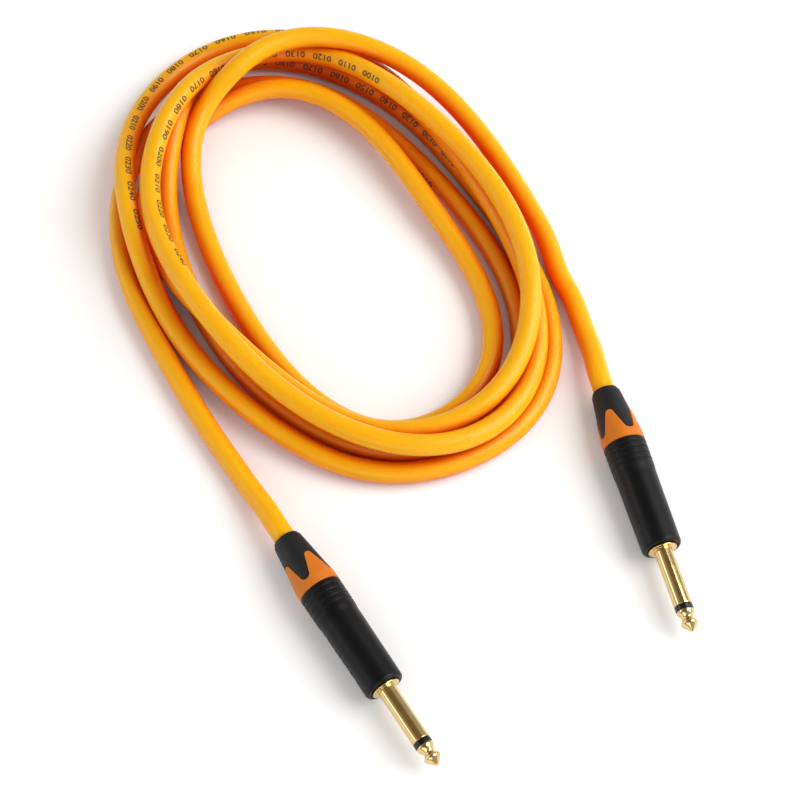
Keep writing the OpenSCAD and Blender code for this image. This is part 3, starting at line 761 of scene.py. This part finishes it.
class CABLE_OT_shells(bpy.types.Operator):
    """Makes the two black handles, with raised figures on their label panels"""
    bl_idname = "cable.shells"
    bl_label = "Handles"

    def execute(self, context):
        sizes, tints = settings()[1:]
        finish = moulded_finish("handle_moulded_nylon", tints.handle, 0.34, 0.42, 0.35, 0.012, 1.2, 0.19)
        rear, mid, front = (v / 2 / MM for v in (sizes.shell_rear_d, sizes.shell_mid_d,
                                                 sizes.shell_front_d))
        depth, bore, thread_bore = sizes.groove_depth / MM, 5.4, 6.0
        grooves, first_groove, groove_pitch = 4, 1.6, 2.3
        mid_z, rim_start = GRIP_FRONT + 1.5, -2.1
        # The ribbed end narrows a little toward the front, and each groove has sloping sides.
        rib = lambda z: rear - 0.15 * (z + SHELL_LEN) / (GRIP_FRONT + SHELL_LEN)
        grip = np.concatenate([
            [[rib(z), z], [rib(z) - depth, z + 0.22], [rib(z) - depth, z + 0.48], [rib(z), z + 0.7]]
            for z in -SHELL_LEN + first_groove + groove_pitch * np.arange(grooves)])
        corners = np.vstack([[[thread_bore, -SHELL_LEN], [rear, -SHELL_LEN]], grip,
                             [[rib(GRIP_FRONT), GRIP_FRONT], [mid, mid_z], [front, rim_start]]])
        radii = np.r_[0.15, 0.3, np.full(len(grip), 0.2), 0.7, 0.9, 0.0]
        # The rim: a turn_back of an ellipse over the edge, and another down into the bore.
        t = np.radians(np.linspace(0, 90, 14))[:, None]
        rim_w = 0.75
        crest = front - rim_w
        over = np.hstack([crest + rim_w * np.cos(t), rim_start + (RIM_Z - rim_start) * np.sin(t)])
        into = np.hstack([crest - (crest - bore) * np.sin(t), RIM_Z - 0.9 * (1 - np.cos(t))])
        outline = rounded(corners, radii, closed=False, steps=5)
        thread_z = -SHELL_LEN + THREAD_DEPTH
        inside = [[bore, -THREAD_DEPTH], [bore, thread_z], [thread_bore, thread_z]]
        outline = np.vstack([outline, over[1:], into[1:], inside])
        outline = spaced(outline, 0.45)
        high = sizes.figure_height / MM
        flat, strips = figures("1 2 3 4 5 6 7 8", high, 0.3, 0.4)
        for plug in PLUGS:
            points, faces, uv = turned(outline, 2 * sizes.sides)
            points = panel_sink(points, plug, sizes.panel_depth / MM)
            plug_piece("shell", plug, (points, faces, uv), "lead", finish, ["shell"])
            # The figures start 2 mm into the panel, end 2.5 mm before its front, and stand on it.
            along = PANEL_Z[0] + 2 + flat[:, 0] * (PANEL_Z[1] - PANEL_Z[0] - 4.5) / flat[:, 0].max()
            outside = front + (mid - front) * (along - rim_start) / (mid_z - rim_start)
            r = outside - 0.19 + flat[:, 2]
            a = math.radians(plug[3] - PANEL_TURN[plug[0]]) - flat[:, 1] / 7.0
            raised = np.stack([r * np.cos(a), r * np.sin(a), along], -1)
            plug_piece("shell_figures", plug, (raised, strips, None), "lead", finish, [], sharp=40)
        return {"FINISHED"}


def finger_edge(sides, cone):
    """Height of the seam between nut and rubber over the angle, and how much longer it runs
    than the angle does. Across its middle plane a finger is the circle of its nose and then a
    straight side. Between two fingers is the circle of the tongue's nose, which falls away
    steeply beside it. The radius is found again at each height."""
    a = np.linspace(0, TAU, sides, endpoint=False)
    share = TAU / FINGERS
    off = np.abs((a + share / 2) % share - share / 2)
    slope = math.radians(FINGER_SLOPE)
    height = np.full(sides, 4.0)
    for _ in range(6):
        r = cone(FINGER_TIP + height)
        w, w2 = r * np.sin(off), r * np.sin(share / 2 - off)
        side = (w - FINGER_R * math.cos(slope)) / math.tan(slope) + FINGER_R * (1 - math.sin(slope))
        nose = FINGER_R - np.sqrt(np.maximum(FINGER_R ** 2 - w ** 2, 0))
        outline = np.minimum(np.where(w < FINGER_R * math.cos(slope), nose, side), WEB_Z)
        tongue = TONGUE_Z + np.sqrt(np.maximum(TONGUE_R ** 2 - w2 ** 2, 0))
        tongue -= 50 * np.maximum(w2 - TONGUE_R, 0)
        height = (outline + tongue + np.sqrt((outline - tongue) ** 2 + 0.02)) / 2
    climb = (np.roll(height, -1) - np.roll(height, 1)) / (2 * a[1] * r)
    return FINGER_TIP + height, np.minimum(np.sqrt(1 + climb ** 2), 1 / math.sin(slope))


class CABLE_OT_reliefs(bpy.types.Operator):
    """Makes the orange relief nuts and the rubber boots that fill the gaps between their fingers"""
    bl_idname = "cable.reliefs"
    bl_label = "Relief nuts and boots"

    def execute(self, context):
        cable, sizes, tints = settings()
        nut_finish = moulded_finish("nut_moulded_nylon", tints.nut, 0.4, 0.5, 0.4, 0.01, 1.04, 0.25)
        boot_finish = moulded_finish("boot_moulded_rubber", tints.rubber, 0.5, 0.6, 0.3, 0.018, 1.25, 0.35)
        rear = sizes.shell_rear_d / 2 / MM
        end_r, gap, sides = sizes.boot_end_d / 2 / MM, sizes.seam_gap / MM, 384
        boot_front = rear - NUT_PROUD
        collar_len, start = 1.2, BOOT_END + 1.45
        slope = (boot_front - end_r) / (NUT_BACK - BOOT_END - collar_len)
        cone = lambda z: boot_front - slope * (NUT_BACK - z)
        edge, stretch = finger_edge(sides, cone)
        fall = lambda d, r: r - np.sqrt(np.maximum(r * r - (r - np.minimum(d, r)) ** 2, 0))
        near = np.array([1.2, 0.8, 0.5, 0.34, 0.24, 0.16, 0.09, 0.04, 0.012])
        # Rubber boot: bore, rear end, outside, the seam's side, pocket under the fingers, front.
        bore = cable.cable_d / 2 / MM + 0.2
        seam = edge - gap / 2 * stretch
        rings = [(r, BOOT_END + z) for r, z in (
            (bore, 0.25), (bore + 0.06, 0.07), (bore + 0.25, 0), (4.5, 0), (4.62, 0.03), (4.7, 0.12),
            (4.72, 0.3), (4.74, 0.9), (4.78, 1.0), (end_r - 0.28, 1.06), (end_r - 0.1, 1.12),
            (end_r, 1.3), (cone(start), 1.45))]
        for t in np.linspace(0.06, 1, 22):
            z = start + (seam - 1.4 * stretch - start) * t
            rings.append((cone(z), z))
        for d in near:
            z = seam - d * stretch
            rings.append((cone(z) - fall(d, 0.22), z))
        for k in (0.3, 0.7, 1.1, 1.25):
            rings.append((cone(seam) - k, seam))
        for t in (0.05, 0.35, 0.7, 1.0):
            z = seam + (NUT_BACK - seam) * t
            rings.append((cone(z) - 1.3, z))
        rings += [(5.0, NUT_BACK), (bore, NUT_BACK), (bore, NUT_BACK - 4), (bore, NUT_BACK - 8)]
        boot_shape = stacked(rings)
        # Nut: front face, ring, fingers, the seam's side, their underside, bore, threaded spigot.
        seam = edge + gap / 2 * stretch
        edge_z = NUT_FRONT - 0.3
        rings = [(6.1, NUT_FRONT), (rear - 0.3, NUT_FRONT), (rear - 0.12, NUT_FRONT - 0.04),
                 (rear - 0.03, NUT_FRONT - 0.13), (rear, edge_z)]
        proud = lambda z: np.minimum(cone(np.minimum(z, NUT_BACK)) + NUT_PROUD, rear)
        for t in np.linspace(0.08, 1, 14):
            z = edge_z + (seam + 1.3 * stretch - edge_z) * t
            z = np.minimum(z, edge_z - 0.01 * t)
            rings.append((proud(z), z))
        for d in near:
            z = np.minimum(seam + d * stretch, NUT_FRONT - 0.32 - 0.05 * (1.2 - d))
            rings.append((proud(z) - fall(d, 0.3), z))
        for k in (0.3, 0.7, 1.0, 1.2):
            rings.append((cone(seam) + NUT_PROUD - k, seam))
        for t in (0.05, 0.35, 0.7, 1.0):
            z = seam + (NUT_BACK - seam) * t
            rings.append((cone(z) - 1.15, z))
        rings += [(5.0, NUT_BACK), (bore, NUT_BACK), (bore, NUT_BACK + 1.4), (bore, NUT_FRONT),
                  (bore + 0.05, SPIGOT_FRONT - 0.2), (bore + 0.25, SPIGOT_FRONT), (5.3, SPIGOT_FRONT)]
        turn, root_r, thread_h = np.linspace(0, 1, sides, endpoint=False), 5.45, 0.48
        for z in np.linspace(SPIGOT_FRONT - 0.3, NUT_FRONT + 0.4, 40):
            wave = np.abs(((z / THREAD_PITCH + turn) % 1) * 2 - 1)
            fade = min(1.0, (z - NUT_FRONT - 0.4) / 0.8, (SPIGOT_FRONT - z) / 0.8)
            rings.append((root_r + thread_h * np.clip(wave * 1.6 - 0.3, 0, 1) * max(fade, 0.0), z))
        rings.append((root_r, NUT_FRONT))
        nut_shape = stacked(rings)
        for plug in PLUGS:
            body = f"relief_{plug[0]}"
            plug_piece("boot", plug, boot_shape, body, boot_finish, ["boot"], 50)
            plug_piece("relief_nut", plug, nut_shape, body, nut_finish, ["relief_nut"], 50)
        return {"FINISHED"}


class CABLE_OT_contacts(bpy.types.Operator):
    """Makes the gold sleeves and tips and the black rings between them"""
    bl_idname = "cable.contacts"
    bl_label = "Contacts"

    def execute(self, context):
        sizes, tints = settings()[1:]
        gold = metal_finish("contact_gold_plated_brass", tints.gold, 0.08, 0.14, 3.0, 0.12)
        black = moulded_finish("ring_turned_acetal", tints.ring, 0.18, 0.26, 0.2, 0.004)
        sleeve, flange, sides = sizes.sleeve_d / 2 / MM, sizes.flange_d / 2 / MM, sizes.sides
        head, neck = sizes.tip_head_d / 2 / MM, sizes.tip_neck_d / 2 / MM
        bore, stem = 2.3, 4.1
        barrel = [[bore, STEM_BACK], [stem, STEM_BACK], [stem, -FLANGE_T], [flange, -FLANGE_T], [flange, 0],
                  [sleeve + 0.02, 0], [sleeve, 0.3], [sleeve, SLEEVE_LEN], [bore, SLEEVE_LEN]]
        barrel = spaced(rounded(barrel, [0.1, 0.1, 0.05, 0.15, 0.25, 0.2, 0.1, 0.25, 0.05]), 1.0)
        rod, seam, z1 = 1.4, 0.02, SLEEVE_LEN + RING_W
        band = [[rod, SLEEVE_LEN + seam], [sleeve, SLEEVE_LEN + seam], [sleeve, z1 - seam], [rod, z1 - seam]]
        band = spaced(rounded(band, [0.02, 0.12, 0.12, 0.02]), 0.5)
        # The tip's outline from the ring: collar, waist and the cone of its head.
        shape = np.array([
            [3.0, 0.25], [2.99, 0.75], [2.86, 1.2], [2.6, 1.7], [2.28, 2.2], [2.03, 2.65], [neck, 3.0],
            [2.06, 3.35], [2.38, 3.8], [2.72, 4.25], [head - 0.04, 4.6], [head, 4.9], [head - 0.09, 5.22],
            [2.4, 5.9], [1.62, 6.75], [0.94, 7.45], [0.44, 7.86]])
        place = np.r_[0, np.cumsum(np.linalg.norm(np.diff(shape, axis=0), axis=1))]
        curve = natural_spline(place, shape, np.linspace(0, place[-1], 60))[0] + np.array([0, z1])
        hidden = [[0, ROD_BACK], [rod - 0.05, ROD_BACK], [rod, ROD_BACK + 0.1], [rod, z1], [2.8, z1],
                  [2.94, z1 + 0.06]]
        point = [[0.16, z1 + TIP_LEN - 0.01], [0, z1 + TIP_LEN]]
        profile = spaced(np.vstack([hidden, curve, point]), 0.5, closed=False)
        for plug in PLUGS:
            tip = turned(profile, sides, closed=False)
            plug_piece("sleeve", plug, turned(barrel, sides), "lead", gold, ["sleeve"], 50)
            plug_piece("ring", plug, turned(band, sides), "lead", black, ["ring"], 50)
            plug_piece("tip", plug, tip, "lead", gold, ["tip"], 50)
        return {"FINISHED"}


class CABLE_OT_inner_parts(bpy.types.Operator):
    """Finishes the parts inside the plugs, whose shapes come with the frame"""
    bl_idname = "cable.inner_parts"
    bl_label = "Inner parts"

    def execute(self, context):
        tints = settings()[2]
        nylon = moulded_finish("insulator_moulded_nylon", tints.insulator, 0.4, 0.5, 0.3, 0.01)
        tin = metal_finish("tag_tinned_brass", tints.tin, 0.28, 0.4, 1.5)
        solder = metal_finish("joint_tin_solder", tints.tin, 0.18, 0.3, 0.8)
        finishes = {
            "chuck": moulded_finish("chuck_moulded_acetal", tints.chuck, 0.34, 0.44, 0.3, 0.008),
            "insert": nylon, "inner_insulator": nylon, "ground_lug": tin,
            "ground_solder": solder, "tip_solder": solder,
            "jacket_end": moulded_finish("jacket_end_extruded_pvc", tints.jacket, 0.34, 0.44, 0.45, 0.01,
                                         1.04, 0.4),
            "screen_end": braid_finish("screen_braided_copper", tints.copper),
            "dielectric": moulded_finish("dielectric_extruded_polythene", tints.dielectric, 0.3, 0.4, 0.5,
                                         0.006, 1.02),
            "conductor": metal_finish("conductor_drawn_copper", tints.copper, 0.22, 0.34, 0.6),
        }
        for kind, finish in finishes.items():
            for plug in PLUGS:
                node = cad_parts[f"{kind}_{plug[0]}"]
                node.data.materials.clear()
                node.data.materials.append(finish)
        return {"FINISHED"}


class CABLE_OT_stage(bpy.types.Operator):
    """Makes the pale floor, the soft lamps and the white surroundings"""
    bl_idname = "cable.stage"
    bl_label = "Stage"

    def execute(self, context):
        tints = settings()[2]
        mesh = bpy.data.meshes.new("floor")
        corners = [(x * FLOOR_HALF, y * FLOOR_HALF, -FLOOR_DROP)
                   for x, y in ((-1, -1), (1, -1), (1, 1), (-1, 1))]
        mesh.from_pydata(corners, [], [(0, 1, 2, 3)])
        floor = new_object("floor", mesh)
        finish = bpy.data.materials.new("studio_paper")
        finish.use_nodes = True
        tree = finish.node_tree
        tree.nodes.clear()
        seen = add(tree, "LightPath").outputs
        shiny = combine(tree, "MAXIMUM", seen["Is Glossy Ray"], seen["Is Transmission Ray"])
        either = combine(tree, "MAXIMUM", seen["Is Camera Ray"], shiny)
        # Far from the object the paper runs up to plain white, and near it the shadows stay.
        place = add(tree, "TexCoord").outputs["Object"]
        away = add(tree, "VectorMath", {0: place}, operation="LENGTH")
        lift = add(tree, "MapRange", {"Value": away.outputs["Value"], "From Min": 0.3,
                                                "From Max": 1.2, "To Min": FLOOR_LIFT, "To Max": 1.0})
        # Painted shade: close under the object, where ambient occlusion finds the paper hemmed in, its added
        # glow is cut, which darkens it there as shade would.
        painted_shade_ao = add(tree, "AmbientOcclusion", {"Distance": 0.04}, samples=8)
        lift_with_painted_shade = combine(tree, "MULTIPLY", lift.outputs["Result"], painted_shade_ao.outputs["AO"])
        seen_lift = combine(tree, "MULTIPLY", either, lift_with_painted_shade)
        paper = add(tree, "BsdfDiffuse", {"Color": rgba(tints.floor)})
        glow = add(tree, "Emission", {"Color": (1, 1, 1, 1), "Strength": seen_lift})
        both = add(tree, "AddShader", {0: paper.outputs[0], 1: glow.outputs[0]})
        add(tree, "OutputMaterial", {"Surface": both.outputs[0]})
        mesh.materials.append(finish)
        for name, azimuth, elevation, distance, size, radiance in LAMPS:
            a, e = math.radians(azimuth), math.radians(elevation)
            out = np.array([math.cos(e) * math.cos(a), math.cos(e) * math.sin(a), math.sin(e)])
            data = bpy.data.lights.new(name, "AREA")
            data.shape, data.size, data.size_y = "RECTANGLE", *size
            data.energy = radiance * math.pi * size[0] * size[1]
            lamp = new_object(name, data)
            lamp.location = np.array(LAMPS_ROUND) + distance * out
            lamp.rotation_euler = facing(-out)
            lamp.visible_camera = False
        world = bpy.data.worlds.new("studio")
        context.scene.world = world
        world.use_nodes = True
        tree = world.node_tree
        way = add(tree, "TexCoord").outputs["Generated"]
        up = add(tree, "SeparateXYZ", {"Vector": way})
        ramp = add(tree, "ValToRGB", {"Fac": up.outputs["Z"]})
        stops = ramp.color_ramp.elements
        while len(stops) < len(ROOM):
            stops.new(0.5)
        for stop, (elevation, code) in zip(stops, ROOM):
            stop.position, stop.color = math.sin(math.radians(elevation)), (*linear(code), 1)
        tree.links.new(ramp.outputs["Color"], tree.nodes["Background"].inputs["Color"])
        context.scene.view_settings.view_transform = "Standard"
        return {"FINISHED"}


PROPERTY_GROUPS = (CableSizes, PlugSizes, CableColours)
OPERATORS = (CABLE_OT_camera, CABLE_OT_jacket, CABLE_OT_shells, CABLE_OT_reliefs, CABLE_OT_contacts,
             CABLE_OT_inner_parts, CABLE_OT_stage)


class CABLE_PT_panel(bpy.types.Panel):
    """Lists the cable's pieces in the sidebar"""
    bl_idname = "CABLE_PT_panel"
    bl_label = "Instrument cable"
    bl_space_type = "VIEW_3D"
    bl_region_type = "UI"
    bl_category = "Cable"

    def draw(self, context):
        for kind in OPERATORS:
            self.layout.operator(kind.bl_idname)
        for group in settings():
            box = self.layout.box()
            for name in group.bl_rna.properties.keys():
                if name not in ("rna_type", "name"):
                    box.prop(group, name)


def register():
    for kind in (*PROPERTY_GROUPS, *OPERATORS, CABLE_PT_panel):
        bpy.utils.register_class(kind)
    bpy.types.Scene.cable_sizes = PointerProperty(type=CableSizes)
    bpy.types.Scene.plug_sizes = PointerProperty(type=PlugSizes)
    bpy.types.Scene.cable_colours = PointerProperty(type=CableColours)


def unregister():
    del bpy.types.Scene.cable_sizes, bpy.types.Scene.plug_sizes, bpy.types.Scene.cable_colours
    for kind in reversed((*PROPERTY_GROUPS, *OPERATORS, CABLE_PT_panel)):
        bpy.utils.unregister_class(kind)


def main():
    """Builds the cable round the frame."""
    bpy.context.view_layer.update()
    register()
    for kind in OPERATORS:
        group, call = kind.bl_idname.split(".")
        getattr(getattr(bpy.ops, group), call)()


if __name__ == "__main__":
    main()
